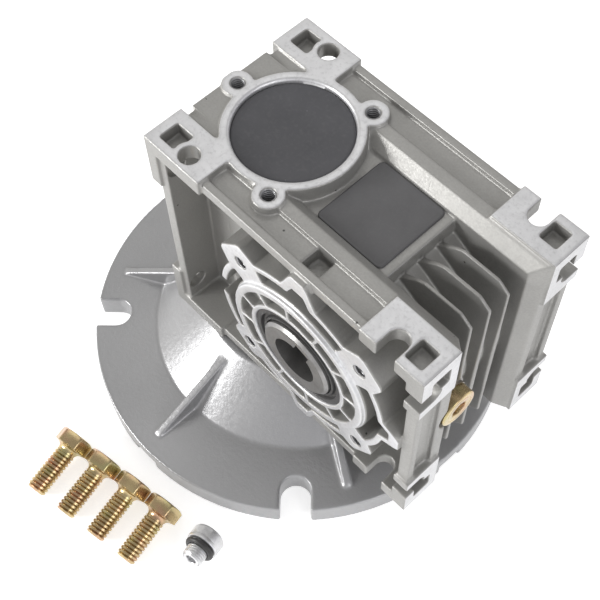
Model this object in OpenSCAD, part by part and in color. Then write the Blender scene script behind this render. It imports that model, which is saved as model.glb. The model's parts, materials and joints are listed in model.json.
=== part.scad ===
// Worm gear reducer, centre distance 40 mm, ratio 10 to 1, with a motor flange on its input.
// Millimetres. The worm turns about Z, the hollow output shaft about a line along Y.
// The origin lies on the worm axis, in the face of the flange that the motor is bolted to.
// +X runs from the worm to the wheel. -Y is the side whose boss is cast with the housing.

/* [Gears] */
// Distance from the worm axis to the wheel axis
centre_distance = 40; // [39.6:0.1:40.6]
// Teeth on the bronze wheel
wheel_teeth = 30; // [28:1:30]
// Threads that start side by side on the worm
worm_starts = 3; // [2:1:3]
// Axial module of the worm
gear_module = 2; // [1.95:0.01:2]
// Flank angle of the teeth, from the radial line
pressure_angle = 20; // [18:0.5:22]
// Width of the toothed rim along the wheel axis
wheel_face = 18; // [14:0.5:20]
// Half of the play between thread and tooth, on each flank
flank_play = 0.4; // [0.36:0.01:0.44]
// How much is turned off the crest of the thread
tip_relief = 0.2; // [0.15:0.05:0.3]
// Length of the threaded part of the worm
worm_length = 36; // [30:0.5:37]
// Gap between the teeth of the wheel and the upper worm bearing
tooth_clearance = 1; // [0.8:0.1:2]

/* [Housing] */
// Width over the foot pads, along the wheel axis
housing_width = 71; // [71:0.5:73]
// From the worm axis to the end face beside the worm
worm_overhang = 31; // [31:0.5:33]
// From the wheel axis to the end face beside the wheel
wheel_overhang = 50; // [50:0.5:52]
// Thickness of the drilled foot pads
pad_thickness = 6.5; // [6:0.25:7]
// Length of a pad beside the worm
worm_pad_length = 26; // [24:0.5:27]
// Length of a pad beside the wheel
wheel_pad_length = 25.5; // [24:0.5:27]
// Length of the pads on the two end faces
end_pad_length = 23; // [22.5:0.5:26]
// How far the rails between the pads lie back
rail_setback = 1.2; // [0.8:0.1:1.6]
// Wall thickness of the rails
rail_wall = 4.6; // [4.2:0.1:5]
// Depth of the long groove in a rail
rail_groove = 2; // [1:0.1:2.4]
// Depth of the pocket in the groove over the output boss
rail_pocket = 7.2; // [4:0.2:8]
// Depth of a frame, from the pads' edge to its web
frame_depth = 15.5; // [14.5:0.5:16]
// Thickness of the web at the back of a frame
web_thickness = 5; // [4.5:0.25:5.5]
// Diameter of the foot holes and slots
foot_hole_d = 7; // [6.4:0.1:7.2]
// From the worm axis to the foot holes beside it
worm_foot_x = 15; // [14:0.5:16]
// From the wheel axis to the foot slots beside it
wheel_foot_x = 35; // [34.5:0.5:36]
// Half the pitch of the foot holes along the wheel axis
foot_half_pitch = 30; // [29.5:0.25:30.5]
// Half the pitch of the end face holes along the worm axis
end_half_pitch = 35; // [34.5:0.25:35.5]
// Outer radius of the gear chamber
chamber_outer_r = 40.5; // [40:0.25:42]
// Thickness of a cooling fin
fin_thickness = 2.2; // [1.8:0.1:2.6]
// Pitch of the cooling fins
fin_pitch = 8.2; // [7.6:0.1:8.6]
// How far the fins stand back from the end face
fin_setback = 5.8; // [5:0.2:7]

/* [Worm bore] */
// Outer radius of the machined ring on top
ring_r = 23.5; // [23:0.25:24]
// Outer radius of the tube around the lower bearing
lower_tube_r = 24.5; // [24.25:0.25:25]
// Radius of the bore around the worm
worm_chamber_r = 16; // [15:0.25:16.5]
// Radius at which the three ears stand, on the top and on the underside
ear_pitch_r = 26; // [26:0.25:27]
// Radius of an ear
ear_r = 5.4; // [5:0.1:5.8]
// Tapping radius of the threaded mounting holes
tap_r = 2.5; // [2.3:0.05:2.6]
// Depth of the threaded mounting holes
tap_depth = 11; // [10:0.5:12]
// Thickness of the rubber end cap
cap_thickness = 7; // [6:0.5:8]
// How far the end cap lies below the ring
cap_recess = 1.6; // [1.2:0.1:2]
// Chamfer around the cap
cap_chamfer = 0.8; // [0.4:0.1:1]
// Space between the circlip and the end cap
cap_gap = 1.35; // [0.5:0.05:2]
// Thickness of the circlip over the upper bearing
circlip_t = 1.7; // [1.5:0.1:1.8]

/* [Output side] */
// Distance from the mid plane to the end of the hollow shaft
shaft_half_length = 39; // [38.6:0.1:39.4]
// Bore radius of the hollow output shaft
output_bore_r = 9; // [8:0.25:9.5]
// Width of the output keyway
output_key_w = 6; // [5:0.5:6]
// Depth of the output keyway beyond the bore
output_key_t = 2.8; // [2.2:0.1:2.9]
// Angle of the keyway about the shaft at rest
output_key_angle = 70; // [0:1:360]
// Distance from the mid plane to the machined star face
star_half_width = 36.5; // [36.2:0.1:36.8]
// Distance from the mid plane to the face of the pilot ring
pilot_half_width = 38; // [37.8:0.1:38.2]
// Radius of the pilot ring
pilot_r = 30; // [29.6:0.1:30.4]
// Radius of the circle of tapped holes around the output
output_tap_pitch_r = 37.5; // [37:0.25:38]
// Inner radius of the gear chamber
chamber_r = 36; // [35:0.25:36]
// Depth of the cover's spigot in the housing, from its flange
cover_flange_y = 29; // [28.5:0.25:29.5]
// Radius of the side cover's flange
cover_r = 42.8; // [42.6:0.1:43]
// Depth of the threaded holes in the cover
cover_tap_depth = 6.5; // [6:0.1:6.8]
// Radius of the circle of cover screws
cover_screw_pitch_r = 39.3; // [39.2:0.05:39.4]

/* [Input flange] */
// Height of the flange below its gasket
flange_height = 30.8; // [30:0.2:33]
// Radius of the flange rim
flange_r = 82.5; // [82:0.5:85]
// Thickness of the rim
flange_rim = 11.3; // [10:0.1:12]
// Radius where the cone meets the rim
cone_base_r = 57.7; // [57:0.25:59]
// Radius of the cone under the housing
cone_top_r = 36; // [35.5:0.5:38]
// Radius of the recess that centres the motor
motor_pilot_r = 57.15; // [55:0.05:57.3]
// Depth of that recess
motor_pilot_depth = 4.5; // [4:0.25:5]
// Radius of the motor bolt circle
motor_bolt_pitch_r = 74.6; // [74:0.2:75.5]
// Width of the four motor bolt slots
motor_slot_w = 11.6; // [10:0.2:12.4]
// Thickness of the six ribs
rib_thickness = 3; // [2.5:0.1:4]
// Radius at which the ribs run out
rib_end_r = 75.3; // [74:0.25:76]
// Radius of the cavity under the cone
cavity_r = 40.5; // [40:0.25:41]
// Thickness of the wall that carries the housing
flange_plate = 9.5; // [9:0.25:10]
// Thickness of the gasket under the housing
gasket = 0.5; // [0.4:0.1:0.8]

/* [Shafts, bearings and seals] */
// Bore radius of the worm shaft, for the motor shaft
input_bore_r = 7.9375; // [7:0.0625:8]
// Width of the input keyway
input_key_w = 4.8; // [4:0.1:5]
// Depth of the input keyway beyond the bore
input_key_t = 2.1; // [1.8:0.1:2.4]
// Bore radius of the lower worm bearing
lower_bore = 12.5; // [12.25:0.05:12.6]
// Outer radius of the lower worm bearing
lower_outer = 21; // [20.8:0.1:21.2]
// Width of the lower worm bearing
lower_width = 9; // [8.6:0.2:10]
// Ball radius of the lower worm bearing
lower_ball = 2.38; // [2.2:0.02:2.4]
// Bore radius of the upper worm bearing
upper_bore = 8.5; // [8.4:0.1:9]
// Outer radius of the upper worm bearing
upper_outer = 20; // [19.6:0.1:20]
// Width of the upper worm bearing
upper_width = 12; // [11.6:0.2:12.4]
// Ball radius of the upper worm bearing
upper_ball = 3.37; // [3.2:0.01:3.4]
// Bore radius of the output bearings
output_bore = 15; // [14.8:0.1:15.2]
// Outer radius of the output bearings
output_outer = 27.5; // [27.2:0.1:27.6]
// Width of the output bearings
output_width = 13; // [12.6:0.2:13]
// Ball radius of the output bearings
output_ball = 3.57; // [3.4:0.01:3.6]
// Outer radius of the output seals
output_seal_r = 20; // [19.8:0.1:20.2]
// Outer radius of the input seal
input_seal_r = 20; // [19.8:0.1:20.2]
// Width of the seals
seal_width = 7; // [6.6:0.1:7]
// Height of the worm shaft's mouth above the motor face
worm_mouth_z = 12; // [11:0.5:13]
// Depth of the worm shaft's bore
input_bore_depth = 44; // [40:0.5:45]
// Gap between a shaft and a seal lip
running_gap = 0.05; // [0.03:0.01:0.08]
// Gap between pieces that are pressed or screwed together
fit_gap = 0.02; // [0.01:0.01:0.04]
// Gap between a ball and its races
ball_gap = 0.05; // [0.03:0.01:0.08]

/* [Fasteners and fittings] */
// Width across the flats of the motor bolts
bolt_flats = 12.7; // [12.3:0.1:12.8]
// Thread radius of the motor bolts
bolt_r = 3.95; // [3.8:0.05:4.1]
// Length of the motor bolts below the head
bolt_length = 20.4; // [19:0.2:23]
// Height of their heads
bolt_head = 5.4; // [5:0.1:5.8]
// Distance between the motor bolts as they lie
bolt_spacing = 14.95; // [14.9:0.05:15.6]
// Radius of the oil plug's head
plug_head_r = 7.3; // [7:0.1:7.6]
// Height of the oil plug's head
plug_head = 4.6; // [4:0.1:5]
// Thread radius of the oil plugs
plug_thread_r = 4.8; // [4.6:0.05:4.86]
// Distance of the oil plug from the mid plane
plug_y = 13.2; // [13:0.1:13.6]
// Radius of the vent plug's head
vent_head_r = 6.4; // [6.2:0.1:6.8]
// Height of the straight part of its head
vent_head = 5; // [4.6:0.1:5.4]
// Thread radius of the vent plug
vent_thread_r = 4.1; // [4:0.05:4.2]
// How far its thread points up as it lies, in degrees
vent_lift = 12; // [8:1:16]

/* [Hidden] */
$fn = 96;
eps = 0.01;
far = 400;

worm_pitch_r = centre_distance - gear_module * wheel_teeth / 2;
worm_tip_r = worm_pitch_r + gear_module;
worm_root_r = worm_pitch_r - 1.2 * gear_module;
wheel_pitch_r = gear_module * wheel_teeth / 2;
wheel_root_r = wheel_pitch_r - 1.2 * gear_module;
wheel_tip_r = wheel_pitch_r + gear_module;
wheel_bore_r = wheel_pitch_r - 7;
lead = PI * gear_module * worm_starts;
lead_angle = atan(lead / (2 * PI * worm_pitch_r));

// The upper bearing stands clear of the wheel, and the circlip, the cap and its recess on top of it
upper_seat_rise = sqrt(pow(wheel_tip_r + tooth_clearance, 2) - pow(centre_distance - upper_outer, 2));
housing_height = 2 * (upper_seat_rise + upper_width + 0.1 + circlip_t + cap_gap + cap_thickness + cap_recess);

// Heights of the housing's underside, wheel axis and top
base_z = flange_height + gasket;
wheel_z = base_z + housing_height / 2;
top_z = base_z + housing_height;

// Frames: outer and inner planes along Y, and the two end faces
half_w = housing_width / 2;
web_out = half_w - frame_depth;
web_in = web_out - web_thickness;
pad_root = web_out - 0.3;
end_x = centre_distance + wheel_overhang;
wall_in = rail_setback + rail_wall;
groove = [web_out + 3.4, half_w - 4.2];
chamfer = 4;

// Bearings: bore radius, outer radius, width, ball radius, number of balls
lower_bearing = [lower_bore, lower_outer, lower_width, lower_ball, 12];
upper_bearing = [upper_bore, upper_outer, upper_width, upper_ball, 7];
output_bearing = [output_bore, output_outer, output_width, output_ball, 11];

seal_y = pilot_half_width - 0.8 - seal_width;
output_bearing_y = seal_y - 0.2 - output_bearing[2];
shaft_shoulder_r = 18;

cavity_top = flange_height - flange_plate;
input_seal_z = cavity_top + 0.3;
spigot = 4;
ear_h = 26;
lower_bearing_z = flange_height + spigot + fit_gap;
lower_shoulder_z = lower_bearing_z + lower_bearing[2];
cap_z = top_z - cap_recess - cap_thickness;
circlip_z = cap_z - cap_gap - circlip_t;
upper_bearing_z = circlip_z - 0.1 - upper_width;

pedestal = [centre_distance - 16.5, centre_distance + 14.5];
pedestal_half = 17;
pedestal_drop = 6.5;
plate = [27.5, 2 * web_in - 0.6, 0.8];

screw_r = 3;
screw_head_r = 5;
screw_head = 6;
cover_screw_r = 2;
cover_screw_head_r = 3.5;
cover_screw_head = 4;
plug_seat_x = end_x - 2 - plug_head;
washer_t = 1.2;

// Turns a piece that is drawn along Z so that it points along -Y at the wheel axis
module on_output(y = 0) {
    translate([centre_distance, -y, wheel_z]) rotate([90, 0, 0]) children();
}

// The same on the far side
module on_far_output(y = 0) {
    translate([centre_distance, y, wheel_z]) rotate([-90, 0, 0]) children();
}

module tube(r_out, r_in, h) {
    difference() {
        cylinder(r = r_out, h = h);
        translate([0, 0, -1]) cylinder(r = r_in, h = h + 2);
    }
}

// A slot of width w, open towards +Y, that ends in a half circle at the origin
module open_slot(w, h) {
    cylinder(r = w / 2, h = h);
    translate([-w / 2, 0, 0]) cube([w, far, h]);
}

// ---- Housing casting ----

// One frame, drawn on the +Y side with its underside at z = 0
module frame_solid() {
    x0 = -worm_overhang;
    length = worm_overhang + end_x;
    // Web
    translate([0, web_in, 0]) rotate([90, 0, 0]) mirror([0, 0, 1]) linear_extrude(web_thickness)
        polygon([[x0 + 3, rail_setback], [end_x - rail_setback, rail_setback],
            [end_x - rail_setback, housing_height - rail_setback],
            [x0 + 3, housing_height - rail_setback]]);
    // Rails
    difference() {
        translate([x0 + 3, web_in + 1, rail_setback])
            cube([length - 3 - rail_setback, half_w - rail_setback - web_in - 1,
                housing_height - 2 * rail_setback]);
        translate([x0 + 3 + rail_wall, web_out, wall_in])
            cube([length - 3 - wall_in - rail_wall, far, housing_height - 2 * wall_in]);
    }
    // Pads on the two long faces
    for (z = [0, housing_height - pad_thickness]) {
        translate([x0, pad_root, z]) cube([worm_pad_length, half_w - pad_root, pad_thickness]);
        translate([end_x - wheel_pad_length, pad_root, z])
            cube([wheel_pad_length, half_w - pad_root, pad_thickness]);
    }
    // Pads on the two end faces
    for (z = [0, housing_height - end_pad_length]) {
        translate([x0, pad_root, z]) cube([rail_wall + 0.4, half_w - pad_root, end_pad_length]);
        translate([end_x - pad_thickness, pad_root, z])
            cube([pad_thickness, half_w - pad_root, end_pad_length]);
    }
}

module frame_cuts() {
    mid = (web_out + half_w) / 2;
    // Round hole beside the worm, on top only, and open slots beside the wheel
    translate([-worm_foot_x, foot_half_pitch, housing_height - pad_thickness - 1])
        cylinder(r = foot_hole_d / 2, h = pad_thickness + 2);
    translate([centre_distance + wheel_foot_x, foot_half_pitch, -1])
        open_slot(foot_hole_d, housing_height + 2);
    for (s = [-1, 1]) translate([0, foot_half_pitch, housing_height / 2 + s * end_half_pitch]) {
        translate([-worm_overhang - 1, 0, 0]) rotate([0, 90, 0])
            cylinder(r = foot_hole_d / 2, h = pad_thickness + 4);
        translate([end_x - pad_thickness - 2, 0, 0]) rotate([0, 90, 0])
            open_slot(foot_hole_d, pad_thickness + 4);
    }
    // Grooves along the rails
    gx = [-worm_overhang + worm_pad_length, end_x - wheel_pad_length];
    gz = [end_pad_length, housing_height - end_pad_length];
    for (z = [-1, housing_height - rail_setback - rail_groove])
        translate([gx[0], groove[0], z])
            cube([gx[1] - gx[0], groove[1] - groove[0], rail_setback + rail_groove + 1]);
    translate([end_x - rail_setback - rail_groove, groove[0], gz[0]])
        cube([far, groove[1] - groove[0], gz[1] - gz[0]]);
    // Pockets in the corners of the pads
    for (z = [-1, housing_height - pad_thickness + 1.5]) {
        translate([end_x - 10.6, mid - 3.1, z]) cube([6.6, 7.4, pad_thickness - 0.5]);
        translate([-worm_overhang + 3.9, mid - 3.3, z]) difference() {
            cube([7.6, 7.4, pad_thickness - 0.5]);
            translate([worm_overhang - worm_foot_x - 3.9, foot_half_pitch - mid + 3.3, -1])
                cylinder(r = foot_hole_d / 2 + 2.1, h = pad_thickness + 2);
        }
    }
    for (z = [5.6, housing_height - 13.4])
        translate([end_x - pad_thickness + 1.5, mid - 4.2, z]) cube([far, 7.4, 7.8]);
    // Chamfer on the inner edges of the frame, over the finned side
    translate([0, web_in, housing_height - rail_setback]) rotate([45, 0, 0])
        cube([far, chamfer * sqrt(2), chamfer * sqrt(2)], center = true);
    translate([0, web_in, rail_setback]) rotate([45, 0, 0])
        cube([far, chamfer * sqrt(2), chamfer * sqrt(2)], center = true);
    translate([end_x - rail_setback, web_in, 0]) rotate([0, 0, 45])
        cube([chamfer * sqrt(2), chamfer * sqrt(2), far], center = true);
    // Rounded corner at the wheel end of the web side
    translate([end_x, web_in - 1, -1]) rotate([0, 0, 45]) cube([6, 6, 2 * far], center = true);
}

module frame() {
    difference() {
        frame_solid();
        frame_cuts();
    }
}

// Outline of the machined star: a band with lobes for the holes and points between them
module star_outline(top_lobe, low_lobe, points) {
    circle(r = output_tap_pitch_r + 0.8);
    for (a = [45, 135]) rotate(a) lobe(top_lobe);
    for (a = [225, 315]) rotate(a) lobe(low_lobe);
    for (p = points) rotate(p[0]) spur(p[1]);
}

module lobe(r) {
    polygon([[r - 12, -10.5], [r - 5, -8.2], [r - 1.2, -7], [r, -5.2], [r, 5.2], [r - 1.2, 7],
        [r - 5, 8.2], [r - 12, 10.5]]);
}

module spur(r) {
    polygon([[r - 12, -9], [r - 6, -6], [r - 2, -4.2], [r, -2.8], [r, 2.8], [r - 2, 4.2],
        [r - 6, 6], [r - 12, 9]]);
}

// Openings between the pilot ring and the band of the star
module star_openings() {
    for (a = [0, 90, 180, 270]) rotate(a) difference() {
        intersection() {
            union() {
                circle(r = output_tap_pitch_r - 1.8);
                polygon([[30, -7.5], [37, -4], [40.2, -2.4], [40.2, 2.4], [37, 4], [30, 7.5]]);
            }
            polygon([[0, 0], [60, -38], [60, 38]]);
        }
        circle(r = pilot_r + 0.8);
    }
}

// The lattice of pockets in the face of the pilot ring, and the openings of the star
module boss_pockets(face_y, star_y, depth) {
    spokes = 12;
    on_output(face_y - depth) linear_extrude(far) difference() {
        circle(r = pilot_r - 3.2);
        circle(r = output_seal_r + 1.9);
        for (i = [0:spokes / 2 - 1]) rotate(i * 360 / spokes + 9)
            square([2 * pilot_r, 1.3], center = true);
    }
    on_output(star_y - 9) linear_extrude(far) star_openings();
}

// The same boss seen from the far side is its mirror image in the mid plane
module boss_shape(root_y, top_lobe, low_lobe, points) {
    on_output(web_out) linear_extrude(star_half_width - web_out)
        star_outline(top_lobe, low_lobe, points);
    on_output(root_y) cylinder(r = pilot_r, h = pilot_half_width - root_y);
}

module boss_taps(depth) {
    for (a = [45:90:315]) on_output(star_half_width - depth) rotate(a)
        translate([output_tap_pitch_r, 0, 0]) cylinder(r = tap_r, h = far);
}

// The three ears around the worm
module at_ears() {
    for (a = [60, 180, 300]) rotate(a) translate([ear_pitch_r, 0, 0]) children();
}

module housing_body() {
    h = housing_height;
    // Two frames
    frame();
    mirror([0, 1, 0]) frame();
    // Tube around the worm, and the wall between the frames beside it
    cylinder(r = ring_r, h = h);
    cylinder(r = lower_tube_r, h = lower_shoulder_z - base_z + 6);
    translate([-worm_overhang + 0.8, -web_in - 1, rail_setback])
        cube([worm_overhang - 0.8, 2 * web_in + 2, h - 2 * rail_setback]);
    // Ears with threaded holes, on top and on the underside
    at_ears() for (z = [0, h - ear_h]) translate([0, 0, z]) cylinder(r = ear_r, h = ear_h);
    // Gear chamber and its bridge to the worm tube
    translate([centre_distance, web_in + 1, h / 2]) rotate([90, 0, 0])
        cylinder(r = chamber_outer_r, h = 2 * web_in + 2);
    translate([0, -pedestal_half, pedestal_drop])
        cube([pedestal[1] + 1.5, 2 * pedestal_half, h - 2 * pedestal_drop]);
    // Cooling fins
    for (y = [-fin_pitch, 0, fin_pitch]) fin(y);
    // Boss of the oil plug
    translate([plug_seat_x - 16, -plug_y, h / 2]) rotate([0, 90, 0])
        cylinder(r = plug_head_r + 1.2, h = 16);
}

module fin(y) {
    h = housing_height;
    x = end_x - fin_setback;
    translate([0, y + fin_thickness / 2, 0]) rotate([90, 0, 0]) linear_extrude(fin_thickness)
        polygon([[centre_distance, 14], [pedestal[1] + 2, 12], [pedestal[1] + 8, 7.5],
            [pedestal[1] + 11, 6], [x - 4.5, 6], [x, 9.5], [x, h - 9.5], [x - 4.5, h - 6],
            [pedestal[1] + 11, h - 6], [pedestal[1] + 8, h - 7.5], [pedestal[1] + 2, h - 12],
            [centre_distance, h - 14]]);
}

module gearbox_housing() {
    color("LightGray") difference() {
        union() {
            translate([0, 0, base_z]) housing_body();
            // Output boss cast with the near frame, and the ring that takes the side cover
            boss_shape(web_in, 45, 42.4, [[0, 44.8], [90, 47], [270, 44.8]]);
            on_far_output(web_in) cylinder(r = cover_r, h = cover_flange_y - web_in);
        }
        // Worm bore from below: spigot and bearing, worm chamber, upper bearing, circlip, cap
        translate([0, 0, base_z - 1]) cylinder(r = lower_bearing[1] + fit_gap,
            h = lower_shoulder_z - base_z + 1);
        translate([0, 0, base_z]) cylinder(r = worm_chamber_r, h = upper_bearing_z - base_z + 1);
        translate([0, 0, upper_bearing_z])
            cylinder(r = upper_bearing[1] + fit_gap, h = far);
        translate([0, 0, circlip_z])
            cylinder(r = upper_bearing[1] + 1.2, h = circlip_t + 0.1);
        translate([0, 0, top_z - cap_chamfer]) cylinder(r1 = upper_bearing[1] + fit_gap,
            r2 = upper_bearing[1] + fit_gap + cap_chamfer + 1, h = cap_chamfer + 1);
        // Gear chamber, open on the far side
        on_output(output_bearing_y) mirror([0, 0, 1])
            cylinder(r = chamber_r, h = output_bearing_y + cover_flange_y + 1);
        // Near output bearing and seal
        on_output(0) cylinder(r = output_bearing[1] + fit_gap, h = seal_y - 0.2);
        on_output(0) cylinder(r = output_seal_r + fit_gap, h = far);
        boss_pockets(pilot_half_width, star_half_width, 4);
        boss_taps(tap_depth);
        // Deep pocket in the groove of the upper near rail, where the boss runs into it
        translate([centre_distance - 4, -groove[1], top_z - rail_setback - rail_pocket])
            cube([7, groove[1] - groove[0], far]);
        // Gap in the star's band on the side of the worm
        on_output(web_out + 1) rotate(178) translate([pilot_r + 2, -4, 0])
            cube([20, 8, far]);
        // Cover screws
        for (a = [0:90:270]) on_far_output(cover_flange_y - 9) rotate(a)
            translate([cover_screw_pitch_r, 0, 0]) cylinder(r = cover_screw_r + fit_gap, h = far);
        // Flange screws
        at_ears() translate([0, 0, base_z - 1]) cylinder(r = screw_r + fit_gap, h = 13);
        // The ear at the end face is flush with the pads there
        translate([-worm_overhang - far, -far / 2, 0]) cube(far);
        // Threaded holes of the top ears
        at_ears() translate([0, 0, top_z - tap_depth]) cylinder(r = tap_r, h = far);
        // Space for the oil plug, and its threaded hole
        translate([plug_seat_x, -plug_y, wheel_z]) rotate([0, 90, 0])
            cylinder(r = plug_head_r + 1.2, h = far);
        translate([centre_distance + 20, -plug_y, wheel_z]) rotate([0, 90, 0])
            cylinder(r = plug_thread_r + fit_gap, h = far);
    }
}

// ---- Side cover, its screws and seal ----

module side_cover() {
    color("Silver") difference() {
        union() {
            on_far_output(output_bearing_y) cylinder(r = chamber_r - 0.04,
                h = cover_flange_y - output_bearing_y + 1);
            on_far_output(cover_flange_y) cylinder(r = cover_r, h = star_half_width - cover_flange_y);
            on_far_output(cover_flange_y) cylinder(r = pilot_r, h = pilot_half_width - cover_flange_y);
        }
        on_far_output(0) cylinder(r = output_bearing[1] + fit_gap, h = seal_y - 0.2);
        on_far_output(0) cylinder(r = output_seal_r + fit_gap, h = far);
        mirror([0, 1, 0]) boss_pockets(pilot_half_width, star_half_width + 5, 4);
        mirror([0, 1, 0]) boss_taps(cover_tap_depth);
        // Groove for the sealing ring
        on_far_output(o_ring_y - 1.3) tube(chamber_r + 1, chamber_r - 2.2, 2.6);
        // Screw holes with their counterbores
        for (a = [0:90:270]) on_far_output(0) rotate(a)
            translate([cover_screw_pitch_r, 0, 0]) {
                cylinder(r = cover_screw_r + 0.15, h = far);
                translate([0, 0, star_half_width - cover_screw_head - 0.4])
                    cylinder(r = cover_screw_head_r + 0.3, h = far);
            }
    }
}
o_ring_y = 24.5;

module side_cover_o_ring() {
    color("Black") on_far_output(o_ring_y) rotate_extrude()
        translate([chamber_r - 1.1, 0]) circle(r = 1.05);
}

// Socket head screw that points down from z = 0, with its head above
module socket_screw(r, head_r, head, length, hex) {
    difference() {
        union() {
            translate([0, 0, -length]) cylinder(r = r, h = length + eps);
            cylinder(r = head_r, h = head);
        }
        translate([0, 0, head * 0.45]) cylinder(r = hex / sqrt(3), h = head, $fn = 6);
    }
}

module side_cover_screws() {
    color("DimGray") for (a = [0:90:270])
        on_far_output(star_half_width - cover_screw_head - 0.4) rotate(a)
            translate([cover_screw_pitch_r, 0, 0])
                socket_screw(cover_screw_r, cover_screw_head_r, cover_screw_head, 11, 3);
}

// ---- Input flange ----

module input_flange() {
    top = flange_height;
    color("Gray") difference() {
        union() {
            cylinder(r = flange_r, h = flange_rim);
            translate([0, 0, flange_rim]) cylinder(r1 = cone_base_r, r2 = cone_top_r,
                h = top - flange_rim);
            translate([0, 0, top - eps]) cylinder(r = lower_bearing[1] - fit_gap, h = spigot + eps);
            for (a = [30:60:330]) rotate(a) translate([0, rib_thickness / 2, 0])
                rotate([90, 0, 0]) linear_extrude(rib_thickness) polygon([[40, flange_rim - 1],
                    [rib_end_r, flange_rim - 1], [rib_end_r, flange_rim + 0.6],
                    [cone_top_r, top - 1.5], [cone_top_r - 4, top - 1.5]]);
        }
        // Recess that centres the motor, and the cavity behind it
        translate([0, 0, -1]) cylinder(r = motor_pilot_r, h = motor_pilot_depth + 1);
        cylinder(r = cavity_r, h = cavity_top);
        // Seat of the oil seal and the opening for the worm shaft
        cylinder(r = input_seal_r + fit_gap, h = input_seal_z + seal_width + 0.1);
        cylinder(r = input_seal_r - 2.8, h = far);
        // Slots for the motor bolts
        for (a = [45:90:315]) rotate(a - 90) translate([0, motor_bolt_pitch_r, -1])
            open_slot(motor_slot_w, far);
        // Reliefs in the rim between the slots
        for (a = [0:90:270]) rotate(a) translate([flange_r - 2.5, -5, -1]) cube([far, 10, 6.2]);
        // Screws that hold the housing
        at_ears() cylinder(r = screw_r + 0.3, h = far);
    }
}

module input_flange_screws() {
    color("DimGray") at_ears() translate([0, 0, cavity_top]) rotate([180, 0, 0])
        socket_screw(screw_r, screw_head_r, screw_head, flange_plate + 11, 5);
}

module input_flange_gasket() {
    color("SaddleBrown") translate([0, 0, flange_height]) difference() {
        union() {
            cylinder(r = lower_tube_r, h = gasket);
            at_ears() cylinder(r = ear_r - 0.5, h = gasket);
        }
        translate([0, 0, -1]) cylinder(r = lower_bearing[1] + 0.1, h = 3);
        at_ears() translate([0, 0, -1]) cylinder(r = screw_r + 0.3, h = 3);
    }
}

// ---- Worm shaft ----

module worm_shaft() {
    z0 = worm_mouth_z;
    thread_z = wheel_z - worm_length / 2;
    r1 = lower_bearing[0] - fit_gap;
    color("Gainsboro") difference() {
        union() {
            translate([0, 0, z0]) cylinder(r1 = r1 - 1, r2 = r1, h = 1);
            translate([0, 0, z0 + 1]) cylinder(r = r1, h = lower_shoulder_z + 9 - z0);
            translate([0, 0, lower_shoulder_z + fit_gap]) cylinder(r = r1 + 2, h = 2.5);
            translate([0, 0, lower_shoulder_z + 10])
                cylinder(r1 = r1, r2 = worm_root_r, h = thread_z - lower_shoulder_z - 10 + eps);
            worm_thread(thread_z);
            translate([0, 0, thread_z + worm_length - eps]) cylinder(r1 = worm_root_r,
                r2 = upper_bearing[0] + 2, h = upper_bearing_z - thread_z - worm_length - 1);
            translate([0, 0, upper_bearing_z - 1 - 2 * eps])
                cylinder(r = upper_bearing[0] + 2, h = 1 + 2 * eps - fit_gap);
            translate([0, 0, upper_bearing_z - 1])
                cylinder(r = upper_bearing[0] - fit_gap, h = upper_bearing[2] + 2.5);
        }
        translate([0, 0, z0 - 1]) cylinder(r = input_bore_r, h = input_bore_depth + 1);
        translate([0, -input_key_w / 2, z0 - 1])
            cube([input_bore_r + input_key_t, input_key_w, input_bore_depth - 2]);
    }
}

// Half width of the worm thread at radius r, measured along the axis
function thread_half(r) =
    PI * gear_module / 4 - flank_play / 2 - (r - worm_pitch_r) * tan(pressure_angle);
function thread_angle(r) = thread_half(r) / lead * 360;

module worm_thread(z) {
    turns = worm_length / lead;
    radii = [worm_root_r, worm_pitch_r, worm_tip_r - tip_relief];
    section = [for (i = [0:worm_starts - 1]) let (a = i * 360 / worm_starts) each concat(
        [for (r = radii) [r * cos(a - thread_angle(r)), r * sin(a - thread_angle(r))]],
        [[radii[2] * cos(a), radii[2] * sin(a)]],
        [for (j = [2:-1:0]) let (r = radii[j])
            [r * cos(a + thread_angle(r)), r * sin(a + thread_angle(r))]],
        [[worm_root_r * cos(a + 180 / worm_starts), worm_root_r * sin(a + 180 / worm_starts)]])];
    translate([0, 0, z]) rotate(-180 * turns) linear_extrude(height = worm_length,
        twist = -360 * turns, slices = ceil(turns * 24), $fn = 0) polygon(section);
}

// ---- Rolling bearings, drawn along Z from z = 0 ----

function pitch_of(b) = (b[0] + b[1]) / 2;

module race_groove(b) {
    translate([0, 0, b[2] / 2]) rotate_extrude() translate([pitch_of(b), 0])
        circle(r = b[3] + ball_gap);
}

module inner_race(b) {
    difference() {
        tube(pitch_of(b) - 0.72 * b[3], b[0], b[2]);
        race_groove(b);
    }
}

module outer_race(b) {
    difference() {
        tube(b[1], pitch_of(b) + 0.72 * b[3], b[2]);
        race_groove(b);
    }
}

module balls(b) {
    for (i = [0:b[4] - 1]) rotate(i * 360 / b[4])
        translate([pitch_of(b), 0, b[2] / 2]) sphere(r = b[3]);
}

module cage(b) {
    difference() {
        translate([0, 0, b[2] / 2 - b[3] - 1])
            tube(pitch_of(b) + 0.8, pitch_of(b) - 0.8, 2 * b[3] + 2);
        for (i = [0:b[4] - 1]) rotate(i * 360 / b[4])
            translate([pitch_of(b) - 4, 0, b[2] / 2]) rotate([0, 90, 0])
                cylinder(r = b[3] + 0.12, h = 8);
    }
}

module at_lower() { translate([0, 0, lower_bearing_z]) children(); }
module at_upper() { translate([0, 0, upper_bearing_z]) children(); }
module at_near() { on_output(output_bearing_y) children(); }
module at_far() { on_far_output(output_bearing_y) children(); }

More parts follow.
